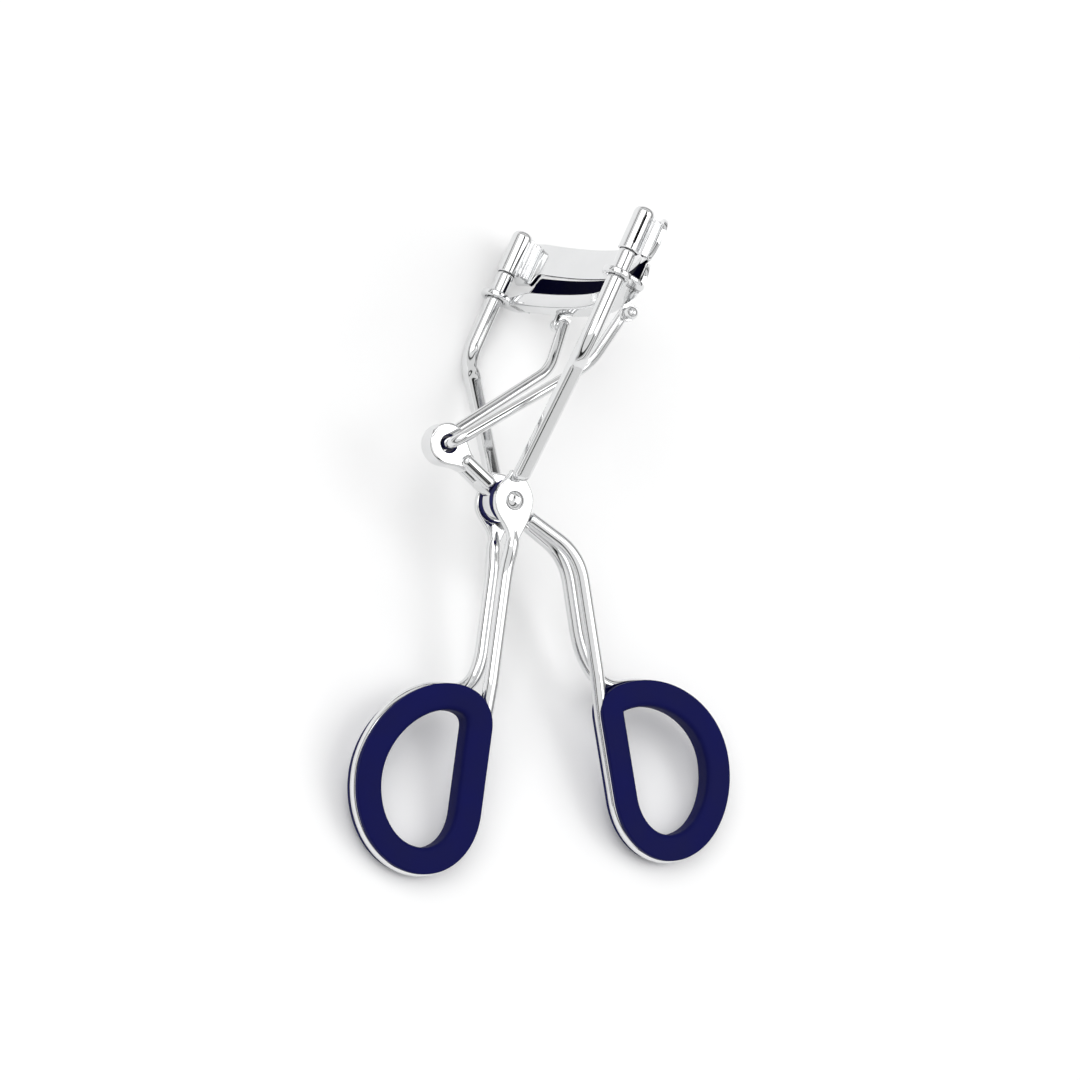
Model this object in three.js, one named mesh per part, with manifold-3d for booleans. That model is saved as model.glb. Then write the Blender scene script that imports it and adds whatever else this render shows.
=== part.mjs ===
// Eyelash curler: a bent-wire cage with a fixed upper jaw, a scissor lever, and a yoke that slides
// the padded lower jaw down the cage's two posts as the handles are spread.
//
// Every piece is drawn in tool axes, in millimetres, with the pivot's centre as the origin:
//   X runs along the pivot, from the far side (-) to the near side (+), and is the jaws' width;
//   Y runs across the handles, towards the side that the jaws bow to;
//   Z runs up the posts.
// At the end the whole tool is laid on its far side, as it rests on a table.

import * as THREE from 'three';
import { mergeVertices } from 'three/addons/utils/BufferGeometryUtils.js';
import Module from 'manifold-3d';

const wasm = await Module();
wasm.setup();

// ---- Driving dimensions ---------------------------------------------------------------------

const GAP = 0.15;                 // left between pieces that touch
const RUNNING = 0.3;              // left round pieces that slide

// Wires
const POST_R = 1.2;
const WIRE_R = 1.0;
const YOKE_R = 0.8;
const STRAND_X = 1.95;            // each handle is two strands, this far either side of the middle
const ARM_X = 1.3;                // the lever's strands draw together beside the pivot

// Cage
const POST_X = 17.5;
const POST_Y = -6.0;
const POST_SHOULDER = 33.9;       // the post is turned down above this, inside its sleeve
const POST_TOP = 40.2;
const POST_BEND = 20.5;
const TENON_R = 0.95;
const SLEEVE_R = 1.45;
const SLEEVE_TOP = 40.9;

// Pivot, from the middle outwards: lever, spacer, ear, rivet head
const LEVER_HALF = 1.3;
const SPACER_IN = LEVER_HALF + GAP;
const SPACER_OUT = 2.05;
const SPACER_R = 3.6;
const EAR_IN = SPACER_OUT + GAP;
const EAR_OUT = 3.2;
const EAR_HALF_WIDTH = 3.1;
const EAR_LENGTH = 5.5;
const RIVET_R = 0.9;
const RIVET_HEAD_R = 1.35;
const RIVET_HEAD_HEIGHT = 0.85;

// Handles: each leaves the pivot on a straight line that its ring's flat side continues
const FRAME_HANDLE = { angle: 17.7, line: 0.7, side: -1, belly: 17.1, top: 26.7, foot: 51.6 };
const LEVER_HANDLE = { angle: 36.7, line: 8.95, side: 1, belly: 17.9, top: 27.9, foot: 51.9 };
const STRAND_START = 9.2;         // distances down the handle's line
const STRAND_END = 25;
const RING_X = 1.3;
const RING_START = 31.5;
const FORK = 19.5;                // where the returning strand rejoins the line

// Grips: a moulded strip that lines the inside of each wire ring
const GRIP_HALF = 1.7;
const GRIP_OUT = 0.7;
const GRIP_IN = 2.95;
const GRIP_CHAMFER = 0.45;

// Lever
const LEVER_BEND = [12.6, -1.7];
const HOOK = [-11.55, 2.7];
const ARM_START = 3.85;
const LEVER_EYE_R = 2.7;
const LEVER_EYE_LENGTH = 5.2;
const CAP_HALF = 1.5;
const CAP_R = 2.9;
const COLLAR_HALF = 2.5;
const COLLAR_START = 2.9;         // distances from the hook's centre
const COLLAR_END = 4.4;
const BUSH_IN_R = 1.2;
const BUSH_OUT_R = 1.5;

// Yoke
const YOKE_HOOK = [-11.75, 2.64];
const YOKE_HOOK_X = 3.45;
const YOKE_BEND = [0.8, 21.4];
const YOKE_BEND_X = 5.9;
const YOKE_PIN = [1.2, 29.1];
const YOKE_TOP_X = 8.5;
const PIN_R = 0.6;
const PIN_LENGTH = 2.2;
const PIN_BEAD_R = 0.95;

// Jaws: plan curves bow towards +Y between the posts, and run on as straight wings
const BOW_POWER = 1.75;
const WING_X = 16.2;
const WING_SLOPE = 0.22;
const CHANNEL_FLOOR = 30.2;
const SHEET = 0.6;
const FLOOR_END_X = 19.4;
const LIP_END_X = 17.0;
const LIP_TOP = 32.3;
const WALL_TOP = 35.2;
const CHANNEL_IN = { middle: -0.6, end: -4.7 };
const CHANNEL_OUT = { middle: 2.4, end: -1.9 };
const EYE_R = 2.15;
const EYE_BOTTOM = 28.7;
const EYE_TOP = 30.3;
const LUG_HALF_WIDTH = 1.15;
const PAD_END_X = 15.1;
const PAD_STEP = 32.6;
const PAD_TOP = 35.3;
const PAD_GAP = 0.25;
const PAD_LEAN = 0.75;
const PLATE_END_X = 20.4;
const PLATE_BOTTOM = 35.7;
const PLATE_TOP = 40.4;
const PLATE_IN = { middle: 1.4, end: -3.7 };
const PLATE_THICKNESS = 0.7;

// Resting attitude
const LEAN = -30;                 // turns the tool in its own plane, handles towards -Y
const REST_PITCH = 13.67;
const REST_ROLL = -0.27;

// ---- Finishes -------------------------------------------------------------------------------

const chrome = () => new THREE.MeshStandardMaterial({ color: 0xd9dadd, metalness: 1, roughness: 0.12 });
const navySilicone = () => new THREE.MeshStandardMaterial({ color: 0x161a50, metalness: 0, roughness: 0.55 });
const navyNylon = () => new THREE.MeshStandardMaterial({ color: 0x2a2c66, metalness: 0, roughness: 0.4 });
const darkRubber = () => new THREE.MeshStandardMaterial({ color: 0x06061e, metalness: 0, roughness: 0.6 });

// ---- Solids ---------------------------------------------------------------------------------

function toSolid(geometry) {
  const bare = geometry.clone();
  bare.deleteAttribute('normal');
  bare.deleteAttribute('uv');
  const merged = mergeVertices(bare, 1e-4);
  return new wasm.Manifold(new wasm.Mesh({
    numProp: 3,
    vertProperties: new Float32Array(merged.attributes.position.array),
    triVerts: new Uint32Array(merged.index.array),
  }));
}

function toGeometry(solid) {
  const mesh = solid.getMesh();
  const geometry = new THREE.BufferGeometry();
  geometry.setAttribute('position', new THREE.BufferAttribute(mesh.vertProperties, 3));
  geometry.setIndex(new THREE.BufferAttribute(mesh.triVerts, 1));
  geometry.computeVertexNormals();
  return geometry;
}

const joined = (solids) => solids.reduce((whole, piece) => whole.add(piece));

// A cylinder, or a cone, along X.
function barX(fromX, toX, radius, y, z, sides = 20) {
  const geometry = new THREE.CylinderGeometry(radius, radius, toX - fromX, sides);
  geometry.rotateZ(Math.PI / 2);
  geometry.translate((fromX + toX) / 2, y, z);
  return toSolid(geometry);
}

// A cylinder along Z.
function barZ(x, y, fromZ, toZ, radius, sides = 20) {
  const geometry = new THREE.CylinderGeometry(radius, radius, toZ - fromZ, sides);
  geometry.rotateX(Math.PI / 2);
  geometry.translate(x, y, (fromZ + toZ) / 2);
  return toSolid(geometry);
}

function ball(x, y, z, radius) {
  const geometry = new THREE.SphereGeometry(radius, 10, 8);
  geometry.translate(x, y, z);
  return toSolid(geometry);
}

// An outline drawn in Y and Z, given thickness along X.
function plateX(shape, fromX, toX) {
  const geometry = new THREE.ExtrudeGeometry(shape, {
    depth: toX - fromX, bevelEnabled: false, curveSegments: 10,
  });
  geometry.applyMatrix4(new THREE.Matrix4().makeBasis(
    new THREE.Vector3(0, 1, 0), new THREE.Vector3(0, 0, 1), new THREE.Vector3(1, 0, 0)));
  geometry.translate(fromX, 0, 0);
  return toSolid(geometry);
}

// An outline drawn in X and Y, given height along Z.
function plateZ(shape, fromZ, toZ) {
  const geometry = new THREE.ExtrudeGeometry(shape, { depth: toZ - fromZ, bevelEnabled: false });
  geometry.translate(0, 0, fromZ);
  return toSolid(geometry);
}

// ---- Wires ----------------------------------------------------------------------------------

// A curve through chosen points. With an `across` vector, sections keep one edge along it.
class Route extends THREE.Curve {
  constructor(points, across = null) {
    super();
    this.points = points;
    this.across = across;
  }

  getPointAt(u) {
    return this.points[Math.round(u * (this.points.length - 1))].clone();
  }

  getPoint(t) {
    return this.getPointAt(t);
  }

  getTangentAt(u) {
    const last = this.points.length - 1;
    const i = Math.round(u * last);
    const behind = this.points[Math.max(i - 1, 0)];
    const ahead = this.points[Math.min(i + 1, last)];
    return ahead.clone().sub(behind).normalize();
  }

  computeFrenetFrames(segments, closed) {
    if (this.across === null) return super.computeFrenetFrames(segments, closed);
    const frames = { tangents: [], normals: [], binormals: [] };
    for (let i = 0; i <= segments; i++) {
      const tangent = this.getTangentAt(i / segments);
      const binormal = tangent.clone().cross(this.across).normalize();
      frames.tangents.push(tangent);
      frames.normals.push(binormal.clone().cross(tangent));
      frames.binormals.push(binormal);
    }
    return frames;
  }
}

function sweep(section, route) {
  return toSolid(new THREE.ExtrudeGeometry(section, {
    steps: route.points.length - 1, extrudePath: route, curveSegments: 3,
  }));
}

function roundSection(radius, sides = 10) {
  const points = [];
  for (let i = 0; i < sides; i++) {
    const angle = (2 * Math.PI * i) / sides;
    points.push(new THREE.Vector2(radius * Math.cos(angle), radius * Math.sin(angle)));
  }
  return new THREE.Shape(points);
}

const wire = (points, radius, sides) => sweep(roundSection(radius, sides), new Route(points));

// Corner points joined by straight runs, with each inner corner rounded over `reach`.
function rounded(corners, reach, steps = 5) {
  const points = [corners[0]];
  for (let i = 1; i < corners.length - 1; i++) {
    const corner = corners[i];
    const before = corners[i - 1].clone().sub(corner);
    const after = corners[i + 1].clone().sub(corner);
    const length = Math.min(reach, before.length() * 0.48, after.length() * 0.48);
    points.push(...new THREE.QuadraticBezierCurve3(
      corner.clone().add(before.setLength(length)),
      corner,
      corner.clone().add(after.setLength(length)),
    ).getPoints(steps));
  }
  points.push(corners[corners.length - 1]);
  return points;
}

const at = (x, [y, z]) => new THREE.Vector3(x, y, z);

// ---- Handles --------------------------------------------------------------------------------

// The place `down` a handle's line and `out` from it towards its ring, as [y, z].
function onHandle(handle, out, down) {
  const angle = THREE.MathUtils.degToRad(handle.angle);
  const offset = handle.line + handle.side * out;
  return [
    offset * Math.cos(angle) + down * Math.sin(angle),
    offset * Math.sin(angle) - down * Math.cos(angle),
  ];
}

// Down the flat side, round the foot, up the belly and over the top, as [out, down].
function ringPath({ belly, top, foot }) {
  const path = new THREE.Path();
  path.moveTo(0, RING_START);
  path.lineTo(0, 43);
  path.bezierCurveTo(0, 48, belly * 0.19, foot, belly * 0.44, foot);
  path.bezierCurveTo(belly * 0.76, foot, belly, 46.2, belly, 40);
  path.bezierCurveTo(belly, 33, belly * 0.65, top, 5.2, top);
  return path;
}

// Both rings lie in a plane that leans, from the near strand's side to the middle at the belly.
const ringX = (out) => RING_X * (1 - out / 17);

function ringWire(handle) {
  const round = ringPath(handle).getSpacedPoints(28);
  const points = round.map((point, i) => {
    const leaving = THREE.MathUtils.smoothstep(i / (round.length - 1), 0.72, 1);
    const x = THREE.MathUtils.lerp(ringX(point.x), -0.5 * STRAND_X, leaving);
    return at(x, onHandle(handle, point.x, point.y));
  });
  const fork = new THREE.CubicBezierCurve(
    new THREE.Vector2(5.2, handle.top), new THREE.Vector2(2.0, handle.top),
    new THREE.Vector2(0, 24.5), new THREE.Vector2(0, FORK),
  ).getPoints(8);
  points.push(...fork.slice(1).map((point, i) => {
    const x = THREE.MathUtils.lerp(-0.5 * STRAND_X, -STRAND_X, (i + 1) / 8);
    return at(x, onHandle(handle, point.x, point.y));
  }));
  return points;
}

// A closed band round the ring, with its section given as [across, inward] corners.
function band(handle, section) {
  const path = ringPath(handle);
  path.bezierCurveTo(2.2, handle.top, 0, 28.5, 0, RING_START);
  const centres = path.getSpacedPoints(36).slice(0, -1);
  const count = centres.length;
  const positions = [];
  centres.forEach((centre, i) => {
    const ahead = centres[(i + 1) % count];
    const behind = centres[(i + count - 1) % count];
    const along = ahead.clone().sub(behind).normalize();
    for (const [across, inward] of section) {
      const out = centre.x + along.y * inward;
      const down = centre.y - along.x * inward;
      positions.push(ringX(out) + across, ...onHandle(handle, out, down));
    }
  });
  const index = [];
  const sides = section.length;
  for (let i = 0; i < count; i++) {
    for (let j = 0; j < sides; j++) {
      const a = i * sides + j;
      const b = i * sides + ((j + 1) % sides);
      const c = ((i + 1) % count) * sides + ((j + 1) % sides);
      const d = ((i + 1) % count) * sides + j;
      index.push(...(handle.side < 0 ? [a, b, c, a, c, d] : [a, c, b, a, d, c]));
    }
  }
  const geometry = new THREE.BufferGeometry();
  geometry.setAttribute('position', new THREE.Float32BufferAttribute(positions, 3));
  geometry.setIndex(index);
  return toSolid(geometry);
}

function grip(handle) {
  const inside = GRIP_IN - GRIP_CHAMFER;
  const flat = GRIP_HALF - GRIP_CHAMFER;
  const section = [
    [-GRIP_HALF, -GRIP_OUT], [GRIP_HALF, -GRIP_OUT], [GRIP_HALF, inside], [flat, GRIP_IN],
    [-flat, GRIP_IN], [-GRIP_HALF, inside],
  ];
  const groove = wire(
    [at(STRAND_X, onHandle(handle, 0, STRAND_END)), ...ringWire(handle)], WIRE_R + GAP);
  return band(handle, section).subtract(groove);
}

// ---- Cage -----------------------------------------------------------------------------------

// The ear's outline: a round plate that narrows to the wire's width up and down the handle line.
function earShape() {
  const shape = new THREE.Shape();
  const corner = (out, down) => {
    const [y, z] = onHandle({ ...FRAME_HANDLE, line: 0 }, out, down);
    return [y, z];
  };
  const half = EAR_LENGTH / 2;
  shape.moveTo(...corner(-WIRE_R, -EAR_LENGTH));
  shape.bezierCurveTo(...corner(-WIRE_R, -half), ...corner(-EAR_HALF_WIDTH, -half),
    ...corner(-EAR_HALF_WIDTH, 0));
  shape.bezierCurveTo(...corner(-EAR_HALF_WIDTH, half), ...corner(-WIRE_R, half),
    ...corner(-WIRE_R, EAR_LENGTH));
  shape.lineTo(...corner(WIRE_R, EAR_LENGTH));
  shape.bezierCurveTo(...corner(WIRE_R, half), ...corner(EAR_HALF_WIDTH, half),
    ...corner(EAR_HALF_WIDTH, 0));
  shape.bezierCurveTo(...corner(EAR_HALF_WIDTH, -half), ...corner(WIRE_R, -half),
    ...corner(WIRE_R, -EAR_LENGTH));
  return shape;
}

function frameWire() {
  const pieces = [];
  const earX = (EAR_IN + EAR_OUT) / 2;
  const middleLine = { ...FRAME_HANDLE, line: 0 };
  for (const side of [1, -1]) {
    const post = rounded([
      at(side * POST_X, [POST_Y, POST_SHOULDER]),
      at(side * POST_X, [POST_Y, POST_BEND]),
      at(side * (earX + 1.5), onHandle(middleLine, 0, -5.7)),
      at(side * earX, onHandle(middleLine, 0, -4.6)),
    ], 2.2);
    pieces.push(wire(post, POST_R));
    pieces.push(barZ(side * POST_X, POST_Y, POST_SHOULDER - 1, POST_TOP, TENON_R, 12));
    pieces.push(plateX(earShape(), side > 0 ? EAR_IN : -EAR_OUT, side > 0 ? EAR_OUT : -EAR_IN));
  }
  const near = rounded([
    at(earX, onHandle(FRAME_HANDLE, 0, 4.6)),
    at(earX, onHandle(FRAME_HANDLE, 0, 6.2)),
    at(STRAND_X, onHandle(FRAME_HANDLE, 0, STRAND_START)),
    at(STRAND_X, onHandle(FRAME_HANDLE, 0, STRAND_END)),
  ], 1.4, 3);
  const far = near.slice(0, -1).map((point) => point.clone().setX(-point.x)).reverse();
  pieces.push(wire([...near, ...ringWire(FRAME_HANDLE), ...far], WIRE_R));
  return joined(pieces).subtract(barX(-6, 6, RIVET_R + GAP, 0, 0));
}

function postSleeve(side) {
  const x = side * POST_X;
  const shell = barZ(x, POST_Y, POST_SHOULDER + GAP, SLEEVE_TOP - SLEEVE_R * 0.6, SLEEVE_R)
    .add(ball(x, POST_Y, SLEEVE_TOP - SLEEVE_R, SLEEVE_R));
  return shell.subtract(barZ(x, POST_Y, POST_SHOULDER - 1, POST_TOP + GAP, TENON_R + GAP, 12));
}

function pivotRivet() {
  const shoulder = EAR_OUT + GAP;
  const profile = [[0, -shoulder - RIVET_HEAD_HEIGHT]];
  const domeSteps = 4;
  for (let i = 1; i <= domeSteps; i++) {
    const angle = (Math.PI / 2) * (i / domeSteps);
    profile.push([RIVET_HEAD_R * Math.sin(angle), -shoulder - RIVET_HEAD_HEIGHT * Math.cos(angle)]);
  }
  profile.push([RIVET_R, -shoulder]);
  const whole = [...profile, ...profile.map(([radius, x]) => [radius, -x]).reverse()];
  const geometry = new THREE.LatheGeometry(whole.map(([radius, x]) => new THREE.Vector2(radius, x)), 20);
  geometry.rotateZ(-Math.PI / 2);
  return toSolid(geometry);
}

function spacer(side) {
  const fromX = side > 0 ? SPACER_IN : -SPACER_OUT;
  const toX = side > 0 ? SPACER_OUT : -SPACER_IN;
  return barX(fromX, toX, SPACER_R, 0, 0, 28).subtract(barX(-6, 6, RIVET_R + GAP, 0, 0));
}

// ---- Lever ----------------------------------------------------------------------------------

const hookAngle = Math.atan2(HOOK[1], HOOK[0]);
const hookReach = Math.hypot(...HOOK);

// A point this far from the pivot on the arm that carries the hook.
const onHookArm = (distance) => [distance * Math.cos(hookAngle), distance * Math.sin(hookAngle)];

// A straight-sided slot outline with round ends, along a direction in the YZ plane.
function slotShape([y, z], angle, fromAlong, toAlong, halfWidth) {
  const shape = new THREE.Shape();
  const place = (along, out) => [
    y + along * Math.cos(angle) - out * Math.sin(angle),
    z + along * Math.sin(angle) + out * Math.cos(angle),
  ];
  const [endY, endZ] = place(toAlong, 0);
  const [startY, startZ] = place(fromAlong, 0);
  shape.moveTo(...place(fromAlong, -halfWidth));
  shape.lineTo(...place(toAlong, -halfWidth));
  shape.absarc(endY, endZ, halfWidth, angle - Math.PI / 2, angle + Math.PI / 2, false);
  shape.lineTo(...place(fromAlong, halfWidth));
  shape.absarc(startY, startZ, halfWidth, angle + Math.PI / 2, angle + Math.PI * 1.5, false);
  return shape;
}

function leverWire() {
  const tailAngle = Math.atan2(LEVER_BEND[1], LEVER_BEND[0]);
  const tailStart = [ARM_START * Math.cos(tailAngle), ARM_START * Math.sin(tailAngle)];
  const near = rounded([
    at(ARM_X, tailStart),
    at(STRAND_X, LEVER_BEND),
    at(STRAND_X, onHandle(LEVER_HANDLE, 0, STRAND_END)),
  ], 4.2);
  const far = near.slice(0, -1).map((point) => point.clone().setX(-point.x)).reverse();
  const pieces = [wire([...near, ...ringWire(LEVER_HANDLE), ...far], WIRE_R)];
  for (const side of [1, -1]) {
    pieces.push(wire([
      at(side * ARM_X, onHookArm(ARM_START)),
      at(side * ARM_X, onHookArm(hookReach - COLLAR_START - 0.2)),
    ], WIRE_R));
  }
  const eye = slotShape([0, 0], hookAngle, -LEVER_EYE_LENGTH + LEVER_EYE_R / 2,
    LEVER_EYE_LENGTH - LEVER_EYE_R / 2, LEVER_EYE_R / 2);
  pieces.push(plateX(eye, -LEVER_HALF, LEVER_HALF));
  pieces.push(barX(-LEVER_HALF, LEVER_HALF, LEVER_EYE_R, 0, 0, 28));
  return joined(pieces).subtract(barX(-6, 6, RIVET_R + GAP, 0, 0));
}

function leverEndCap() {
  const paddle = plateX(slotShape(HOOK, hookAngle, -COLLAR_END + 2, 0, CAP_R * 0.68), -CAP_HALF, CAP_HALF)
    .add(barX(-CAP_HALF, CAP_HALF, CAP_R, ...HOOK, 28));
  const shape = new THREE.Shape();
  const place = (distance, out) => {
    const [y, z] = onHookArm(distance);
    return [y - out * Math.sin(hookAngle), z + out * Math.cos(hookAngle)];
  };
  const outer = WIRE_R + GAP + 0.35;
  shape.moveTo(...place(hookReach - COLLAR_START, -outer));
  shape.lineTo(...place(hookReach - COLLAR_END, -outer));
  shape.lineTo(...place(hookReach - COLLAR_END, outer));
  shape.lineTo(...place(hookReach - COLLAR_START, outer));
  const collar = plateX(shape, -COLLAR_HALF, COLLAR_HALF);
  let cap = paddle.add(collar);
  for (const side of [1, -1]) {
    cap = cap.subtract(wire([
      at(side * ARM_X, onHookArm(0)),
      at(side * ARM_X, onHookArm(hookReach - COLLAR_START - 0.2 + GAP)),
    ], WIRE_R + GAP));
  }
  return cap.subtract(barX(-6, 6, BUSH_OUT_R + GAP, ...HOOK, 24));
}

function hookBushing() {
  return barX(-CAP_HALF, CAP_HALF, BUSH_OUT_R, ...HOOK, 24)
    .subtract(barX(-6, 6, BUSH_IN_R, ...HOOK, 24));
}

// ---- Yoke -----------------------------------------------------------------------------------

function yokeWire() {
  const arm = (side) => [
    at(side * YOKE_HOOK_X, YOKE_HOOK),
    at(side * YOKE_BEND_X, YOKE_BEND),
    at(side * YOKE_TOP_X, YOKE_PIN),
  ];
  const corners = [...arm(1).reverse(), ...arm(-1)];
  const pieces = [wire(rounded(corners, 2.0, 6), YOKE_R)];
  for (const side of [1, -1]) {
    const x = side * YOKE_TOP_X;
    pieces.push(ball(x, ...YOKE_PIN, YOKE_R * 1.02));
    const end = side * (YOKE_TOP_X + PIN_LENGTH);
    pieces.push(barX(Math.min(x, end), Math.max(x, end), PIN_R, ...YOKE_PIN, 12));
    pieces.push(ball(end, ...YOKE_PIN, PIN_BEAD_R));
  }
  return joined(pieces);
}

// ---- Jaws -----------------------------------------------------------------------------------

function bow(x, { middle, end }) {
  const within = Math.min(Math.abs(x), WING_X);
  const curve = end + (middle - end) * (1 - (within / POST_X) ** BOW_POWER);
  return curve - WING_SLOPE * (Math.abs(x) - within);
}

// The plan area between two bows, cut off square at +-endX.
function bowShape(inner, outer, endX, steps = 18) {
  const front = [];
  const back = [];
  for (let i = 0; i <= steps; i++) {
    const x = endX * Math.sin((Math.PI / 2) * (2 * i / steps - 1));
    front.push(new THREE.Vector2(x, bow(x, inner)));
    back.push(new THREE.Vector2(x, bow(x, outer)));
  }
  return new THREE.Shape([...front, ...back.reverse()]);
}

const shifted = ({ middle, end }, by) => ({ middle: middle + by, end: end + by });

// An outline drawn in X and Z, given depth along Y through both jaws.
function punchY(shape) {
  const geometry = new THREE.ExtrudeGeometry(shape, { depth: 24, bevelEnabled: false, curveSegments: 6 });
  geometry.rotateX(Math.PI / 2);
  geometry.translate(0, 12, 0);
  return toSolid(geometry);
}

// A wall's outline seen from the front, with its top corners rounded.
function wallShape(endX, bottom, top, radius) {
  const shape = new THREE.Shape();
  shape.moveTo(-endX, bottom);
  shape.lineTo(endX, bottom);
  shape.absarc(endX - radius, top - radius, radius, 0, Math.PI / 2, false);
  shape.absarc(-endX + radius, top - radius, radius, Math.PI / 2, Math.PI, false);
  return shape;
}

// A floor's outline seen from above, with its corners rounded.
function floorShape(endX, radius) {
  const shape = new THREE.Shape();
  const back = bow(endX, CHANNEL_OUT) + 0.2;
  shape.moveTo(-endX, -9);
  shape.lineTo(endX, -9);
  shape.absarc(endX - radius, back - radius, radius, 0, Math.PI / 4, false);
  shape.lineTo(0, back + endX);
  shape.absarc(-endX + radius, back - radius, radius, Math.PI * 0.75, Math.PI, false);
  return shape;
}

function lowerJaw() {
  const floor = plateZ(bowShape(CHANNEL_IN, CHANNEL_OUT, FLOOR_END_X), CHANNEL_FLOOR, CHANNEL_FLOOR + SHEET)
    .intersect(plateZ(floorShape(FLOOR_END_X, 1.6), 0, 50));
  const lip = plateZ(bowShape(CHANNEL_IN, shifted(CHANNEL_IN, SHEET), LIP_END_X), CHANNEL_FLOOR, LIP_TOP);
  const wall = plateZ(bowShape(shifted(CHANNEL_OUT, -SHEET), CHANNEL_OUT, LIP_END_X), CHANNEL_FLOOR, WALL_TOP)
    .intersect(punchY(wallShape(LIP_END_X, CHANNEL_FLOOR - 1, WALL_TOP, 3.2)));
  const pieces = [floor, lip, wall];
  for (const side of [1, -1]) {
    pieces.push(barZ(side * POST_X, POST_Y, EYE_BOTTOM, EYE_TOP + 0.5, EYE_R));
    const lugX = side * (YOKE_TOP_X + PIN_LENGTH / 2);
    const shape = slotShape(YOKE_PIN, Math.PI / 2, 0, CHANNEL_FLOOR - YOKE_PIN[1] - 0.4, LUG_HALF_WIDTH);
    pieces.push(plateX(shape, lugX - SHEET / 2, lugX + SHEET / 2));
  }
  let jaw = joined(pieces);
  for (const side of [1, -1]) {
    jaw = jaw.subtract(barZ(side * POST_X, POST_Y, 20, 40, POST_R + RUNNING));
    const lugX = side * (YOKE_TOP_X + PIN_LENGTH / 2);
    jaw = jaw.subtract(barX(lugX - SHEET, lugX + SHEET, PIN_R + 0.12, ...YOKE_PIN, 16));
  }
  return jaw;
}

function lashPad() {
  const inner = shifted(CHANNEL_IN, SHEET + PAD_GAP);
  const outer = shifted(CHANNEL_OUT, -SHEET - PAD_GAP);
  const seat = plateZ(bowShape(inner, outer, PAD_END_X), CHANNEL_FLOOR + SHEET + GAP, PAD_STEP);
  const crown = plateZ(bowShape(shifted(inner, PAD_LEAN), outer, PAD_END_X), PAD_STEP - 0.5, PAD_TOP);
  return seat.add(crown);
}

// The fixed jaw: a bowed plate whose ends drop into rounded wings behind the posts.
function upperJaw() {
  const slab = plateZ(
    bowShape(PLATE_IN, shifted(PLATE_IN, PLATE_THICKNESS), PLATE_END_X), POST_SHOULDER, PLATE_TOP);
  const window = new THREE.Shape();
  const inside = 15.6;
  window.moveTo(-inside, POST_SHOULDER - 5);
  window.lineTo(inside, POST_SHOULDER - 5);
  window.lineTo(inside, PLATE_BOTTOM);
  window.lineTo(-inside, PLATE_BOTTOM);
  const outline = new THREE.Shape();
  const tip = PLATE_END_X;
  outline.moveTo(-tip + 1.6, POST_SHOULDER);
  outline.lineTo(tip - 1.6, POST_SHOULDER);
  outline.lineTo(tip, PLATE_TOP - 4.2);
  outline.absarc(tip - 2.4, PLATE_TOP - 2.4, 2.4, 0, Math.PI / 2, false);
  outline.absarc(-tip + 2.4, PLATE_TOP - 2.4, 2.4, Math.PI / 2, Math.PI, false);
  outline.lineTo(-tip, PLATE_TOP - 4.2);
  return slab.intersect(punchY(outline)).subtract(punchY(window));
}

// ---- Assembly -------------------------------------------------------------------------------

const tool = new THREE.Group();

function add(name, solid, material) {
  const mesh = new THREE.Mesh(toGeometry(solid), material);
  mesh.name = name;
  tool.add(mesh);
}

add('frame_wire', frameWire(), chrome());
add('frame_grip', grip(FRAME_HANDLE), navySilicone());
add('upper_jaw', upperJaw(), chrome());
add('near_post_sleeve', postSleeve(1), chrome());
add('far_post_sleeve', postSleeve(-1), chrome());
add('pivot_rivet', pivotRivet(), chrome());
add('near_spacer', spacer(1), navyNylon());
add('far_spacer', spacer(-1), navyNylon());
add('lever_wire', leverWire(), chrome());
add('lever_grip', grip(LEVER_HANDLE), navySilicone());
add('lever_end_cap', leverEndCap(), chrome());
add('hook_bushing', hookBushing(), navyNylon());
add('yoke_wire', yokeWire(), chrome());
add('lower_jaw', lowerJaw(), chrome());
add('lash_pad', lashPad(), darkRubber());

tool.rotation.x = THREE.MathUtils.degToRad(LEAN);

// Tool X becomes up, Y becomes X and Z becomes Y: the tool lies on its far side.
const laid = new THREE.Group();
laid.quaternion.setFromAxisAngle(new THREE.Vector3(1, 1, 1).normalize(), -2 * Math.PI / 3);
laid.add(tool);

const rested = new THREE.Group();
rested.rotation.set(THREE.MathUtils.degToRad(REST_PITCH), THREE.MathUtils.degToRad(REST_ROLL), 0);
rested.add(laid);

// The origin is the centre of the footprint, on the table.
const curler = new THREE.Group();
curler.add(rested);
curler.updateMatrixWorld(true);
const box = new THREE.Box3().setFromObject(curler, true);
rested.position.set(-(box.min.x + box.max.x) / 2, -(box.min.y + box.max.y) / 2, -box.min.z);

export default curler;
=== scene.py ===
"""Eyelash curler: chrome wire and sheet, navy silicone grips and a dark rubber lash pad.

Pieces are drawn in tool axes, in millimetres, with the pivot's centre as the origin: X along the
pivot to the near side, Y across the handles, Z up the posts. PLACE lays them on the table.
"""
import math

import bmesh
import bpy
from mathutils import Matrix, Vector


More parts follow.
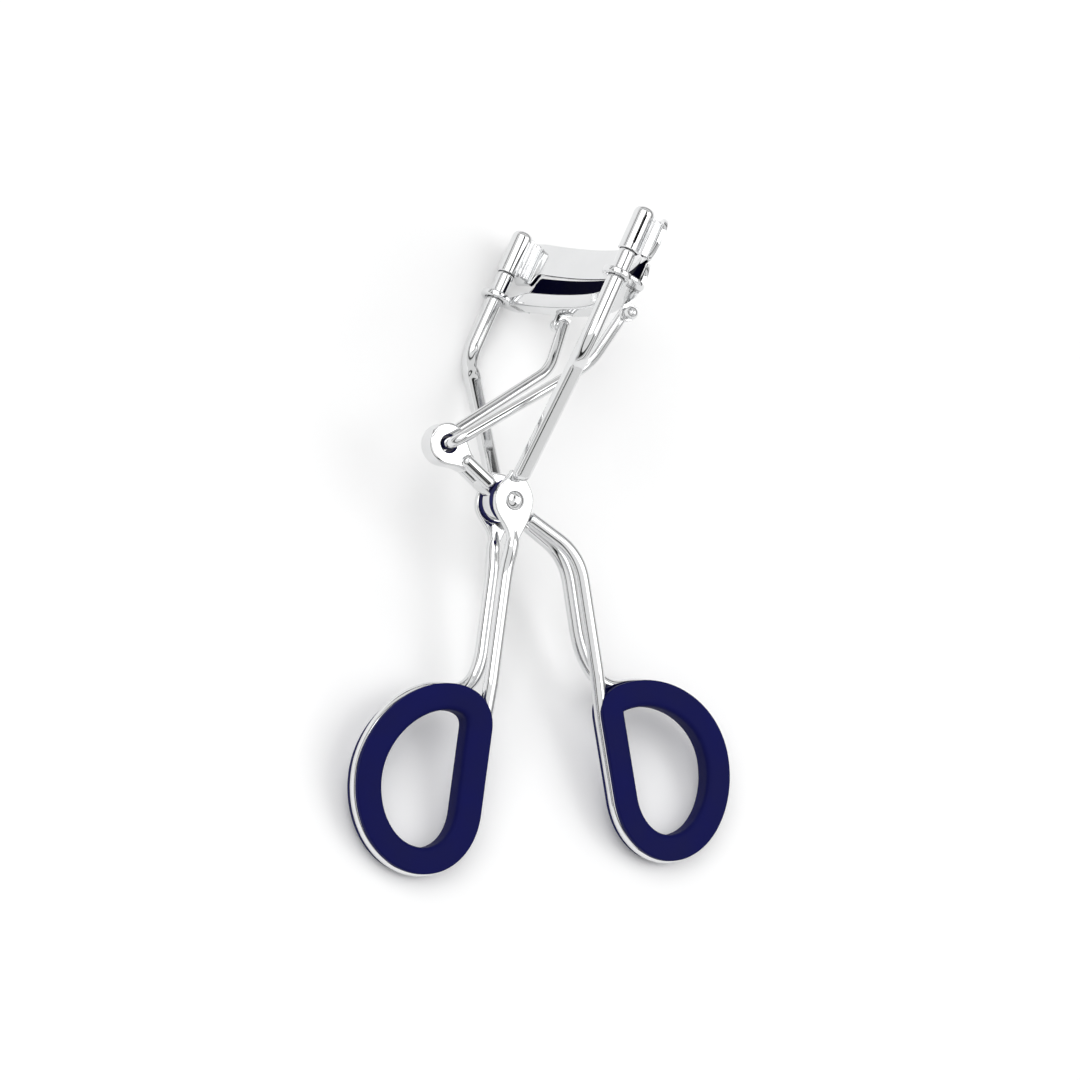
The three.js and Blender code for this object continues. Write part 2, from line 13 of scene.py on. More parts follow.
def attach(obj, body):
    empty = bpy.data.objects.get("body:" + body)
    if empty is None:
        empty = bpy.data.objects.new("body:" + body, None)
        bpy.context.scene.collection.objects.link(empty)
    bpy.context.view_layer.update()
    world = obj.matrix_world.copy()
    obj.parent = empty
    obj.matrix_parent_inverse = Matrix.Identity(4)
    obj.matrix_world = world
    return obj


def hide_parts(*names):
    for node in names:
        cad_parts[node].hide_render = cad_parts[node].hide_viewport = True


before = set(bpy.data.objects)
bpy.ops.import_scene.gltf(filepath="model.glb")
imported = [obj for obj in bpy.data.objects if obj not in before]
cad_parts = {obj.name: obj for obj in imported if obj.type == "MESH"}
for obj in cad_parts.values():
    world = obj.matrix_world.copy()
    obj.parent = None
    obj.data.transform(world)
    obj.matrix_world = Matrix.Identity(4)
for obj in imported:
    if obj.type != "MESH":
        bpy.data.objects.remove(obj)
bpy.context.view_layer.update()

# ---- Dimensions, in millimetres and degrees --------------------------------------------------

# Wires. A place in the Y-Z plane is written (Y, Z)
POST_R, WIRE_R, YOKE_R = 1.2, 1.0, 0.8
STRAND_X, ARM_X = 1.95, 1.3
BEND_REACH = {"post": 2.5, "frame": 1.6, "lever": 3.6, "yoke": 2.0}
POST_X, POST_Y, POST_BEND, POST_SHOULDER = 17.5, -6.0, 20.5, 33.9
POST_END = POST_SHOULDER + 0.8
ARM_FOOT, ARM_FOOT_OUT = -2.8, 0.85          # where a cage arm ends, over its ear
ARM_ROUND_TO, ARM_FLAT_FROM = 2.4, 4.4       # distances from a cage arm's bend
FLAT_THIN, FLAT_NARROW = 0.38, 0.07          # what a flat arm loses in thickness and width

# Sleeves on the posts and the strips beside them
SLEEVE_R, SLEEVE_TOP, SLEEVE_BORE_R = 1.45, 40.65, 1.21
SLEEVE_LOW, SEAM_LOW, SEAM_HIGH, DOME_HEIGHT = 34.05, 35.0, 39.35, 1.0
SEAM_ANGLE, SEAM_HALF = {1: -14, -1: 194}, 9
TENON_R = 0.8
STRIP_X, STRIP_THICKNESS, STRIP_EDGE = 17.1, 0.45, 0.15
FOLD_X, FOLD_R, FOLD_LOW, FOLD_HIGH = 17.2, 0.38, 34.6, 40.0
CLASP_X = 17.4                               # where the strips meet the plate's front

# Pivot
LEVER_HALF, LEVER_EYE_R, LEVER_EYE_LENGTH, WEB_HALF = 1.3, 2.7, 5.2, 1.1
WASHER_IN, WASHER_OUT, WASHER_BORE_R, WASHER_EDGE, WASHER_LINE = 1.45, 2.05, 0.95, 0.12, 0.07
WASHER_R = {1: 3.1, -1: 2.75}
EAR_IN, EAR_OUT, EAR_EDGE = 2.2, 3.2, 0.28
EAR_X = (EAR_IN + EAR_OUT) / 2
EAR_HALF_WIDTH, EAR_UPPER, EAR_TOP, EAR_TOP_HALF = 2.95, 2.05, 4.1, 0.9
EAR_FOOT, EAR_FOOT_HALF = 6.0, 0.75
RIVET_HEAD_R, RIVET_HEAD_HEIGHT = 1.35, 0.85

# Handles: a straight line at an angle, and a ring on one side of it
FRAME_HANDLE = {"angle": 17.7, "line": 0.7, "side": -1, "belly": 17.1, "top": 26.7, "foot": 51.6}
LEVER_HANDLE = {"angle": 36.7, "line": 8.95, "side": 1, "belly": 17.9, "top": 27.9, "foot": 51.9}
STRAND_TUCK, STRAND_LEAVE = 3.6, 6.2         # where a frame strand starts and leaves its ear
STRAND_START, STRAND_END, RING_START, FORK = 9.2, 25.0, 31.5, 19.5
RING_X, RING_SPAN, RING_STRAIGHT, RING_WIDEST, RING_TOP_OUT = 1.3, 17.0, 43, 40, 5.2
RING_STEPS, WIRE_STEPS, GRIP_STEPS = 120, 300, 150
GRIP_HALF, GRIP_OUT, GRIP_IN, GRIP_GROOVE_R = 1.7, 0.7, 2.95, 1.1
GRIP_OUTER_ROUND, GRIP_INNER_ROUND = 0.3, 0.85

# Lever arm, end cap and yoke
LEVER_BEND, HOOK = (12.6, -1.7), (-11.55, 2.7)
TAIL_START, TAIL_AIM, ARM_GAP, ARM_OVERLAP = 3.85, 2.6, 0.15, 2.9
CAP_HALF, CAP_R, CAP_NECK, CAP_EDGE = 1.5, 2.9, 1.65, 0.45
CAP_TAPER_START, CAP_ROUND_TO, CAP_TAPER_FROM, CAP_HEEL, CAP_TAPER_END = 0.2, 0.6, 1.0, 4.1, 4.2
CAP_NOSE = 0.3
CAP_HOLE_R, LINER_IN_R, LINER_OUT_R, LINER_HALF = 1.35, 1.12, 1.32, 1.2
YOKE_HOOK, YOKE_HOOK_X = (-11.75, 2.64), 3.45
YOKE_BEND, YOKE_BEND_X = (0.8, 21.4), 5.9
YOKE_PIN, YOKE_TOP_X = (1.2, 29.1), 8.5
PIN_R, PIN_LENGTH, PIN_BEAD_R = 0.6, 2.2, 0.95

# Jaws: bowed sheets. Each line across is (middle, end), in Y
BOW_POWER, WING_X, WING_SLOPE = 1.75, 16.2, 0.22
CHANNEL_FLOOR, SHEET, FLOOR_START_X, FLOOR_END_X, LIP_END_X = 30.2, 0.6, 15.6, 19.4, 17.0
LIP_TOP, LIP_FALL, LIP_FALL_X, WALL_TOP, WALL_CORNER = 32.3, 1.0, 13.6, 35.2, 3.2
CHANNEL_IN, CHANNEL_OUT = (-0.6, -4.7), (2.4, -1.9)
EYE_BORE_R, EYE_R, EYE_BOTTOM, EYE_TOP, LUG_HALF_WIDTH = 1.48, 2.15, 29.9, 30.85, 1.15
PAD_END_X, PAD_TOP, PAD_ROUND, PAD_GAP, PAD_SLOPE = 15.1, 35.3, 0.75, 0.1, 0.65
PLATE_END_X, PLATE_BOTTOM, PLATE_TOP, PLATE_CORNER, PLATE_EDGE = 20.4, 35.7, 40.4, 2.4, 0.22
PLATE_IN, PLATE_THICKNESS = (1.4, -3.7), 0.7
PLATE_WING, PLATE_TIP_X, PLATE_TIP_RISE = (15.2, 16.0), 18.8, 2.3

# Rest on the table
LEAN, REST_PITCH, REST_ROLL = -30.0, 13.67, -0.27
ORIGIN = (-3.2835, 3.8983, 12.9251)

SIDES = ((1, "near"), (-1, "far"))


def turn(degrees, axis):
    """A turn about one axis."""
    return Matrix.Rotation(math.radians(degrees), 4, axis)


# LIE takes the tool's X to the table's Z, its Y to X and its Z to Y
LIE = Matrix.Rotation(-2 * math.pi / 3, 4, Vector((1, 1, 1)).normalized())
PLACE = (Matrix.Scale(0.001, 4) @ Matrix.Translation(ORIGIN)
         @ turn(REST_PITCH, "X") @ turn(REST_ROLL, "Y") @ LIE @ turn(LEAN, "X"))

# ---- Materials -------------------------------------------------------------------------------


def material(name, colour, metallic, roughness, shade, cloud, grain, bump, specular=0.5,
             depth=0.00002):
    """A shader whose colour and roughness follow a noise, with a fine bump over it.

    roughness is (low, high), shade is the darker patches' share of the colour, cloud and grain
    are the noises' scales, and depth is the bump's height in metres.
    """
    mat = bpy.data.materials.new(name)
    mat.use_nodes = True
    nodes, links = mat.node_tree.nodes, mat.node_tree.links
    shader = nodes["Principled BSDF"]
    shader.inputs["Metallic"].default_value = metallic
    shader.inputs["Specular IOR Level"].default_value = specular
    place = nodes.new("ShaderNodeTexCoord")
    patches = nodes.new("ShaderNodeTexNoise")
    patches.inputs["Scale"].default_value = cloud
    patches.inputs["Detail"].default_value = 5.0
    links.new(place.outputs["Object"], patches.inputs["Vector"])
    spread = nodes.new("ShaderNodeMapRange")
    spread.inputs["From Min"].default_value = 0.35
    spread.inputs["From Max"].default_value = 0.65
    spread.inputs["To Min"].default_value, spread.inputs["To Max"].default_value = roughness
    links.new(patches.outputs["Fac"], spread.inputs["Value"])
    links.new(spread.outputs["Result"], shader.inputs["Roughness"])
    tint = nodes.new("ShaderNodeValToRGB")
    for element, position, share in zip(tint.color_ramp.elements, (0.3, 0.7), (shade, 1.0)):
        element.position = position
        element.color = (*[c * share for c in colour], 1)
    links.new(patches.outputs["Fac"], tint.inputs["Fac"])
    links.new(tint.outputs["Color"], shader.inputs["Base Color"])
    fine = nodes.new("ShaderNodeTexNoise")
    fine.inputs["Scale"].default_value = grain
    fine.inputs["Detail"].default_value = 3.0
    links.new(place.outputs["Object"], fine.inputs["Vector"])
    relief = nodes.new("ShaderNodeBump")
    relief.inputs["Strength"].default_value = bump
    relief.inputs["Distance"].default_value = depth
    links.new(fine.outputs["Fac"], relief.inputs["Height"])
    links.new(relief.outputs["Normal"], shader.inputs["Normal"])
    return mat


CHROME = material("chrome_plate", (0.78, 0.785, 0.79), 1.0, (0.05, 0.11), shade=0.95, cloud=220.0,
                  grain=900.0, bump=0.12)
SILICONE = material("navy_silicone", (0.0035, 0.0045, 0.072), 0.0, (0.50, 0.62), shade=0.8,
                    cloud=160.0, grain=9000.0, bump=0.25, specular=0.08, depth=0.00003)
NYLON = material("navy_nylon", (0.012, 0.013, 0.10), 0.0, (0.35, 0.5), shade=0.6, cloud=600.0,
                 grain=5000.0, bump=0.2, specular=0.15)
RUBBER = material("dark_rubber", (0.0006, 0.0006, 0.010), 0.0, (0.6, 0.7), shade=0.7, cloud=220.0,
                  grain=8000.0, bump=0.2, specular=0.01, depth=0.00003)

SLOTS = {"chrome_plate": CHROME, "navy_silicone": SILICONE, "navy_nylon": NYLON,
         "dark_rubber": RUBBER}

# ---- Mesh making -----------------------------------------------------------------------------


def piece(name, verts, faces, body, slot, nodes=(), sharp=35):
    """A mesh from tool-axis vertices, shaded smooth up to the sharp angle."""
    mesh = bpy.data.meshes.new(name)
    mesh.from_pydata([PLACE @ Vector(v) for v in verts], [], faces)
    work = bmesh.new()
    work.from_mesh(mesh)
    bmesh.ops.remove_doubles(work, verts=work.verts, dist=1e-8)
    bmesh.ops.recalc_face_normals(work, faces=work.faces)
    work.to_mesh(mesh)
    work.free()
    mesh.shade_smooth()
    mesh.set_sharp_from_angle(angle=math.radians(sharp))
    mesh.materials.append(SLOTS[slot])
    obj = bpy.data.objects.new(name, mesh)
    bpy.context.scene.collection.objects.link(obj)
    if nodes:
        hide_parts(*nodes)
    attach(obj, body)
    return obj


def loft(rings, closed=False):
    """Vertices and faces through rings of equal length; open lofts get flat ends."""
    count = len(rings[0])
    verts = [v for ring in rings for v in ring]
    faces = []
    spans = len(rings) if closed else len(rings) - 1
    for i in range(spans):
        a, b = i * count, ((i + 1) % len(rings)) * count
        faces += [(a + j, a + (j + 1) % count, b + (j + 1) % count, b + j) for j in range(count)]
    if not closed:
        faces.append(tuple(range(count))[::-1])
        faces.append(tuple(range(len(verts) - count, len(verts))))
    return verts, faces


def tube(points, radius, sides=28, ease=0.0, flat=None, face=None, crown=0.3):
    """A round wire along points, its ends rounded over crown times its radius.

    ease is the length over which each end swells from half its thickness to the whole of it.
    flat(reach) turns the round section, from 0 to 1, into a flat bar with its broad faces
    towards face.
    """
    points = [Vector(p) for p in points]
    last = len(points) - 1
    tangents = [(points[min(i + 1, last)] - points[max(i - 1, 0)]).normalized()
                for i in range(last + 1)]
    normal = Vector(face) if face else tangents[0].orthogonal().normalized()
    stations, reach = [], 0.0
    length = sum((b - a).length for a, b in zip(points, points[1:]))
    for i, (point, tangent) in enumerate(zip(points, tangents)):
        reach += (point - points[max(i - 1, 0)]).length
        normal = (normal - tangent * normal.dot(tangent)).normalized()
        scale = 0.5 + 0.5 * smoothstep(min(reach, length - reach), 0, ease) if ease else 1.0
        stations.append((point, tangent, normal, scale, flat(reach) if flat else 0.0))
    ends = []
    for (point, tangent, normal, scale, bar), way in ((stations[0], 1), (stations[-1], -1)):
        inset = crown * radius * scale * way
        ends.append([(point + tangent * inset * (1 - math.cos(a)), tangent, normal,
                      scale * (1 - crown * (1 - math.sin(a))), bar)
                     for a in (0.0, 0.25, 0.5, 0.8, 1.1, 1.5)])
    inner = [station for station in stations
             if (station[0] - points[0]).length > crown * radius
             and (station[0] - points[-1]).length > crown * radius]
    stations = ends[0] + inner + ends[1][::-1]
    rings = []
    for point, tangent, normal, scale, bar in stations:
        side = tangent.cross(normal)
        power = 2 + 3 * bar
        ring = []
        for k in range(sides):
            c, s = math.cos(2 * math.pi * k / sides), math.sin(2 * math.pi * k / sides)
            grow = radius * scale / (abs(c) ** power + abs(s) ** power) ** (1 / power)
            ring.append(point + normal * c * grow * (1 - FLAT_THIN * bar)
                        + side * s * grow * (1 - FLAT_NARROW * bar))
        rings.append(ring)
    return loft(rings)


def merged(*parts):
    """Several shapes as one."""
    verts, faces = [], []
    for part_verts, part_faces in parts:
        base = len(verts)
        verts += part_verts
        faces += [tuple(base + i for i in face) for face in part_faces]
    return verts, faces


def lathe(profile, centre, axis, sides=40):
    """Rings made by turning (radius, along) about an axis of the tool, X or Z, through centre."""
    rings = []
    for radius, along in profile:
        ring = []
        for k in range(sides):
            t = 2 * math.pi * k / sides
            c, s = radius * math.cos(t), radius * math.sin(t)
            local = (along, c, s) if axis == "X" else (c, s, along)
            ring.append(Vector(centre) + Vector(local))
        rings.append(ring)
    return rings


def slab(outline, low, high, edge, place):
    """An outline given depth from low to high, its edges rounded. place puts it in the tool."""
    count = len(outline)
    points = [Vector(p) for p in outline]
    if sum(a.x * b.y - b.x * a.y for a, b in zip(points, points[1:] + points[:1])) < 0:
        points.reverse()
    inward = []
    for i, point in enumerate(points):
        along = (points[(i + 1) % count] - points[i - 1]).normalized()
        inward.append(Vector((-along.y, along.x)))
    rings = []
    turns = [math.pi / 2 * k / 4 for k in range(5)]
    for t in turns:
        rings.append((edge * (1 - math.sin(t)), low + edge * (1 - math.cos(t))))
    for t in reversed(turns):
        rings.append((edge * (1 - math.sin(t)), high - edge * (1 - math.cos(t))))
    return loft([[place(*(p + n * inset), w) for p, n in zip(points, inward)]
                 for inset, w in rings])


def in_yz(u, v, w):
    """An outline in the Y-Z plane, its depth along X."""
    return (w, u, v)


def in_xy(u, v, w):
    """An outline in the X-Y plane, its depth along Z."""
    return (u, v, w)


def at(x, place):
    """A point from its X and its place in the Y-Z plane."""
    return Vector((x, place[0], place[1]))


def mirrored(points):
    """The same line on the other side, run backwards."""
    return [Vector((-p.x, p.y, p.z)) for p in points[::-1]]


def straight(start, end, steps):
    """Points on a straight line."""
    return [Vector(start).lerp(Vector(end), k / steps) for k in range(steps + 1)]


def round_corner(start, corner, end, steps):
    """Points on a curve that leaves start, heads for corner and arrives at end."""
    ways = (k / steps for k in range(steps + 1))
    return [start * (1 - t) ** 2 + corner * 2 * t * (1 - t) + end * t * t for t in ways]


def bezier(p0, p1, p2, p3, steps):
    """Points on a cubic curve."""
    points = []
    for k in range(steps + 1):
        t = k / steps
        weights = ((1 - t) ** 3, 3 * t * (1 - t) ** 2, 3 * t * t * (1 - t), t ** 3)
        points.append(tuple(sum(w * p[i] for w, p in zip(weights, (p0, p1, p2, p3)))
                            for i in range(len(p0))))
    return points


def spaced(points, count):
    """The same line in equal steps."""
    points = [Vector(p) for p in points]
    reach = [0.0]
    for a, b in zip(points, points[1:]):
        reach.append(reach[-1] + (b - a).length)
    result, i = [], 0
    for k in range(count + 1):
        want = reach[-1] * k / count
        while i < len(points) - 2 and reach[i + 1] < want:
            i += 1
        step = max(reach[i + 1] - reach[i], 1e-9)
        result.append(points[i].lerp(points[i + 1], min(1.0, (want - reach[i]) / step)))
    return result


def rounded(corners, reach, steps=12):
    """A line through corners, each rounded off from reach before it to reach after it."""
    corners = [Vector(c) for c in corners]
    points = [corners[0]]
    for before, corner, after in zip(corners, corners[1:], corners[2:]):
        a, b = before - corner, after - corner
        length = min(reach, a.length * 0.48, b.length * 0.48)
        start, end = corner + a.normalized() * length, corner + b.normalized() * length
        points += round_corner(start, corner, end, steps)
    return points + [corners[-1]]


def fillet(corners, steps=4):
    """A closed outline from corners given as (u, v, radius), each rounded."""
    points = []
    count = len(corners)
    for i, (u, v, r) in enumerate(corners):
        corner = Vector((u, v))
        before = Vector(corners[i - 1][:2]) - corner
        after = Vector(corners[(i + 1) % count][:2]) - corner
        start = corner + before.normalized() * min(r, before.length * 0.5)
        end = corner + after.normalized() * min(r, after.length * 0.5)
        points += round_corner(start, corner, end, steps)
    return points


def smoothstep(value, low, high):
    """0 up to low, 1 from high, and a smooth rise between them."""
    t = min(1.0, max(0.0, (value - low) / (high - low)))
    return t * t * (3 - 2 * t)


# ---- Handles and rings -----------------------------------------------------------------------


def on_handle(handle, out, down):
    """A place in the Y-Z plane, from its distance out of a handle's line and down along it."""
    angle = math.radians(handle["angle"])
    offset = handle["line"] + handle["side"] * out
    return (offset * math.cos(angle) + down * math.sin(angle),
            offset * math.sin(angle) - down * math.cos(angle))


def ring_line(handle):
    """The D of a ring as (out, down): down the straight side, round the foot and up to the top."""
    belly, top, foot = handle["belly"], handle["top"], handle["foot"]
    low, widest, end = (0, RING_STRAIGHT), (belly, RING_WIDEST), (RING_TOP_OUT, top)
    bottom = (belly * 0.44, foot)
    line = [(0, RING_START), low]
    line += bezier(low, (0, 48), (belly * 0.19, foot), bottom, 40)[1:]
    line += bezier(bottom, (belly * 0.76, foot), (belly, 46.2), widest, 40)[1:]
    line += bezier(widest, (belly, 33), (belly * 0.65, top), end, 40)[1:]
    return line


def ring_x(out):
    """The ring leans, so that its X falls with the distance out."""
    return RING_X * (1 - out / RING_SPAN)


def ring_wire(handle):
    """The ring's wire, then its return to the far strand."""
    points = []
    for i, (out, down) in enumerate(spaced(ring_line(handle), RING_STEPS)):
        leaving = smoothstep(i / RING_STEPS, 0.72, 1)
        x = ring_x(out) * (1 - leaving) - 0.5 * STRAND_X * leaving
        points.append(at(x, on_handle(handle, out, down)))
    top, steps = handle["top"], 24
    fork = bezier((RING_TOP_OUT, top), (2.0, top), (0, 24.5), (0, FORK), steps)[1:]
    for i, (out, down) in enumerate(fork):
        x = -0.5 * STRAND_X * (1 + (i + 1) / steps)
        points.append(at(x, on_handle(handle, out, down)))
    return points


def whole_wire(near, handle):
    """From the near strand, round the ring and back up the far strand."""
    return spaced(near + ring_wire(handle) + mirrored(near[:-1]), WIRE_STEPS)


def grip_section():
    """The grip's outline as (across, inward): a rounded bar with the wire's groove outside."""
    section = []
    start = math.acos(-GRIP_OUT / GRIP_GROOVE_R)
    for k in range(17):
        t = -start + 2 * start * k / 16
        section.append((math.sin(t) * GRIP_GROOVE_R, math.cos(t) * GRIP_GROOVE_R))
    corners = [(GRIP_HALF, -GRIP_OUT, GRIP_OUTER_ROUND), (GRIP_HALF, GRIP_IN, GRIP_INNER_ROUND),
               (-GRIP_HALF, GRIP_IN, GRIP_INNER_ROUND), (-GRIP_HALF, -GRIP_OUT, GRIP_OUTER_ROUND)]
    directions = [((-1, 0), (0, 1)), ((0, -1), (-1, 0)), ((1, 0), (0, -1)), ((0, 1), (1, 0))]
    for (u, v, r), ((au, av), (bu, bv)) in zip(corners, directions):
        for k in range(7):
            t = k / 6
            wa, wb = (1 - t) ** 2 * r, t * t * r
            section.append((u + au * wa + bu * wb, v + av * wa + bv * wb))
    return section


def grip(handle):
    """The moulded strip round the inside of a ring, closed on itself."""
    top = handle["top"]
    line = ring_line(handle)
    line += bezier((RING_TOP_OUT, top), (2.2, top), (0, 28.5), (0, RING_START), 30)[1:]
    centres = spaced(line, GRIP_STEPS)[:-1]
    rings = []
    for i, centre in enumerate(centres):
        along = (centres[(i + 1) % GRIP_STEPS] - centres[i - 1]).normalized()
        ring = []
        for across, inward in grip_section():
            out = centre.x + along.y * inward
            down = centre.y - along.x * inward
            ring.append(at(ring_x(out) + across, on_handle(handle, out, down)))
        rings.append(ring)
    return loft(rings, closed=True)


# ---- Frame -----------------------------------------------------------------------------------

MIDDLE_LINE = dict(FRAME_HANDLE, line=0.0)


def ear_outline():
    """A rounded eye under the rivet that narrows to the arm above and the strand below."""
    wide, top, top_half = EAR_HALF_WIDTH, EAR_TOP, EAR_TOP_HALF
    foot, foot_half = EAR_FOOT, EAR_FOOT_HALF
    upper = bezier((-top_half, -top), (-1.0, -top + 1.0), (-wide, -EAR_UPPER), (-wide, 0), 14)
    lower = bezier((-wide, 0), (-wide, foot / 2), (-foot_half, foot - 2.6), (-foot_half, foot), 14)
    left = upper[:-1] + lower
    right = [(-out, down) for out, down in left[::-1]]
    bend = FRAME_HANDLE["line"]
    return [on_handle(MIDDLE_LINE, out - bend * smoothstep(down, 1.0, 4.6), down)
            for out, down in left + right]


def rivet_head(side):
    """A low dome on the ear's outer face."""
    base = EAR_OUT + 0.02
    rim = base + 0.08
    profile = [(RIVET_HEAD_R * 0.9, base), (RIVET_HEAD_R, rim)]
    for k in range(1, 9):
        t = math.pi / 2 * k / 8
        profile.append((max(RIVET_HEAD_R * math.cos(t), 0.02),
                        rim + (RIVET_HEAD_HEIGHT - 0.1) * math.sin(t)))
    return loft(lathe([(r, side * x) for r, x in profile], (0, 0, 0), "X"))


for side, word in SIDES:
    bend = Vector((side * POST_X, POST_Y, POST_BEND))
    foot = at(side * (EAR_X + ARM_FOOT_OUT), on_handle(MIDDLE_LINE, 0, ARM_FOOT))
    line = spaced(rounded([foot, bend, (side * POST_X, POST_Y, POST_END)], BEND_REACH["post"]), 120)
    arm_length = (foot - bend).length

    def flat(reach):
        return 1 - smoothstep(reach, arm_length - ARM_FLAT_FROM, arm_length - ARM_ROUND_TO)

    piece(word + "_post", *tube(line, POST_R, 36, flat=flat, face=(side, 0, 0), crown=0.9),
          "frame", "chrome_plate", sharp=50)
    low, high = sorted((side * EAR_IN, side * EAR_OUT))
    piece(word + "_ear", *slab(ear_outline(), low, high, EAR_EDGE, in_yz), "frame",
          "chrome_plate", sharp=50)

near_strand = rounded([
    at(EAR_X, on_handle(FRAME_HANDLE, 0, STRAND_TUCK)),
    at(EAR_X, on_handle(FRAME_HANDLE, 0, STRAND_LEAVE)),
    at(STRAND_X, on_handle(FRAME_HANDLE, 0, STRAND_START)),
    at(STRAND_X, on_handle(FRAME_HANDLE, 0, STRAND_END)),
], BEND_REACH["frame"])
piece("frame_ring_wire", *tube(whole_wire(near_strand, FRAME_HANDLE), WIRE_R, ease=2.6), "frame",
      "chrome_plate", ["frame_wire"])
piece("frame_ring_grip", *grip(FRAME_HANDLE), "frame", "navy_silicone", ["frame_grip"])
piece("rivet", *merged(rivet_head(1), rivet_head(-1)), "frame", "chrome_plate", ["pivot_rivet"],
      sharp=50)

# Washers, with fine moulded lines round their rims
for side, word in SIDES:
    r = WASHER_R[side]
    inner, outer = WASHER_IN + WASHER_EDGE, WASHER_OUT - WASHER_EDGE
    profile = [(WASHER_BORE_R, WASHER_IN), (r - WASHER_EDGE, WASHER_IN), (r, inner)]
    for k in range(1, 6):
        profile.append((r - (WASHER_LINE if k % 2 else 0.0), inner + (outer - inner) * k / 6))
    profile += [(r, outer), (r - WASHER_EDGE, WASHER_OUT), (WASHER_BORE_R, WASHER_OUT)]
    rings = lathe([(radius, side * x) for radius, x in profile], (0, 0, 0), "X", 48)
    piece(word + "_washer", *loft(rings, closed=True), "frame", "navy_nylon",
          [word + "_spacer"], sharp=60)

# Sleeves: a rolled tube whose seam shows the post's thinner top, closed by a low dome
for side, word in SIDES:
    centre = Vector((side * POST_X, POST_Y, 0))
    bore, r = SLEEVE_BORE_R, SLEEVE_R
    dome = [(bore, SEAM_HIGH), (r, SEAM_HIGH)]
    for k in range(13):
        t = math.pi / 2 * k / 12
        dome.append((r * max(math.cos(t), 0.02) ** 0.6,
                     SLEEVE_TOP - DOME_HEIGHT + DOME_HEIGHT * math.sin(t)))
    foot = [(bore, SEAM_LOW), (bore, SLEEVE_LOW), (r - 0.1, SLEEVE_LOW), (r, SLEEVE_LOW + 0.1),
            (r, SEAM_LOW)]
    gap = math.radians(SEAM_HALF)
    start = math.radians(SEAM_ANGLE[side]) + gap
    arc = [start + (2 * math.pi - 2 * gap) * k / 48 for k in range(49)]
    section = [(bore * math.cos(t), bore * math.sin(t)) for t in arc]
    section += [(r * math.cos(t), r * math.sin(t)) for t in reversed(arc)]
    rolled = [[centre + Vector((u, v, z)) for u, v in section] for z in (SEAM_LOW, SEAM_HIGH)]
    tenon = [(TENON_R, POST_END - 0.1), (TENON_R, SLEEVE_TOP - 0.9)]
    piece(word + "_sleeve",
          *merged(loft(rolled), loft(lathe(dome, centre, "Z", 48)),
                  loft(lathe(foot, centre, "Z", 48)), loft(lathe(tenon, centre, "Z", 24))),
          "frame", "chrome_plate", [word + "_post_sleeve"])

# ---- Jaws ------------------------------------------------------------------------------------


def bow(x, ends):
    """The Y of a bowed sheet at x: a curve between the posts, then a straight wing."""
    middle, end = ends
    within = min(abs(x), WING_X)
    curve = end + (middle - end) * (1 - (within / POST_X) ** BOW_POWER)
    return curve - WING_SLOPE * (abs(x) - within)


def columns(end, extra=()):
    """X stations, close together towards the ends."""
    stations = {round(end * math.sin(math.pi / 2 * k / 40), 4) for k in range(-40, 41)}
    stations |= {round(side * x, 4) for x in extra for side in (1, -1)}
    return sorted(stations)


def corner_drop(x, end, radius):
    """How far a rounded corner has fallen at x."""
    inside = abs(x) - (end - radius)
    if inside <= 0:
        return 0.0
    return radius - math.sqrt(max(radius * radius - inside * inside, 0.0))


def across(xs, outline):
    """A body along X from its Y-Z outline at each station."""
    return loft([[(x, y, z) for y, z in outline(x)] for x in xs])


def plate_outline(x):
    """The fixed plate's section. Its wings, behind the posts, reach lower."""
    front = bow(x, PLATE_IN)
    back = front + PLATE_THICKNESS
    top = PLATE_TOP - corner_drop(x, PLATE_END_X, PLATE_CORNER)
    bottom = PLATE_BOTTOM - (PLATE_BOTTOM - POST_SHOULDER) * smoothstep(abs(x), *PLATE_WING)
    beyond = max(0.0, (abs(x) - PLATE_TIP_X) / (PLATE_END_X - PLATE_TIP_X))
    bottom += PLATE_TIP_RISE * beyond ** 1.5
    e = PLATE_EDGE
    return fillet([(front, bottom, e), (back, bottom, e), (back, top, e), (front, top, e)])


piece("fixed_jaw_plate",
      *across(columns(PLATE_END_X, (15.2, 15.4, 15.6, 15.8, 16.0, 20.1, 20.25, 20.35)),
              plate_outline),
      "frame", "chrome_plate", ["upper_jaw"], sharp=40)

# Strips of the sleeves' sheet that clasp the plate's front, with a slot between each pair
for side, word in SIDES:
    front = bow(CLASP_X, PLATE_IN)
    strips = [tube(straight((side * FOLD_X, front - 0.1, FOLD_LOW),
                            (side * FOLD_X, front - 0.1, FOLD_HIGH), 8), FOLD_R, 20)]
    for y0, y1, low, high in ((POST_Y + 1.1, POST_Y + 1.75, 34.4, 40.2),
                              (POST_Y + 1.95, front + 0.1, FOLD_LOW, FOLD_HIGH)):
        e = STRIP_EDGE
        outline = fillet([(y0, low, e), (y1, low, e), (y1, high, e), (y0, high, e)])
        inner, outer = sorted((side * STRIP_X, side * (STRIP_X + STRIP_THICKNESS)))
        strips.append(slab(outline, inner, outer, 0.1, in_yz))
    piece(word + "_clasp", *merged(*strips), "frame", "chrome_plate")


